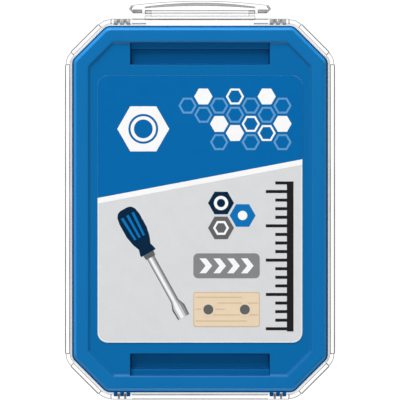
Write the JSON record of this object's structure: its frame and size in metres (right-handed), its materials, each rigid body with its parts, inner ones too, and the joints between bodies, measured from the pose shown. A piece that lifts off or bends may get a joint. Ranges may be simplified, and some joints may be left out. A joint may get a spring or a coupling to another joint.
{
  "type": "hinged screw box",
  "caption": "Clear plastic box with a blue hinged lid, a snap latch and a printed label, holding loose pan-head wood screws.",
  "frame": {"origin": "on the table under the middle of the whole box, latch included, with the box lying on its back", "axes": "+Z out of the lid's face, +Y towards the latch end, +X across the box"},
  "size_m": [0.0976, 0.1446, 0.0315],
  "materials": {
    "clear_plastic": "clear moulded polystyrene, glossy",
    "blue_plastic": "blue moulded polypropylene, satin gloss",
    "printed_label": "printed film label, pale grey and blue",
    "zinc_steel": "zinc-plated steel"
  },
  "bodies": {
    "tray": {"tray": "clear_plastic", "screws": "zinc_steel"},
    "lid": {"lid": "blue_plastic", "label": "printed_label"},
    "latch": {"latch": "clear_plastic"}
  },
  "joints": [
    {"name": "lid_hinge", "type": "hinge", "parent": "tray", "child": "lid", "pos_m": [0, -0.0711, 0.0265], "axis": [1, 0, 0], "range_deg": [0, 170]},
    {"name": "latch_hinge", "type": "hinge", "parent": "tray", "child": "latch", "pos_m": [0, 0.06755, 0.012], "axis": [-1, 0, 0], "range_deg": [0, 90]}
  ]
}
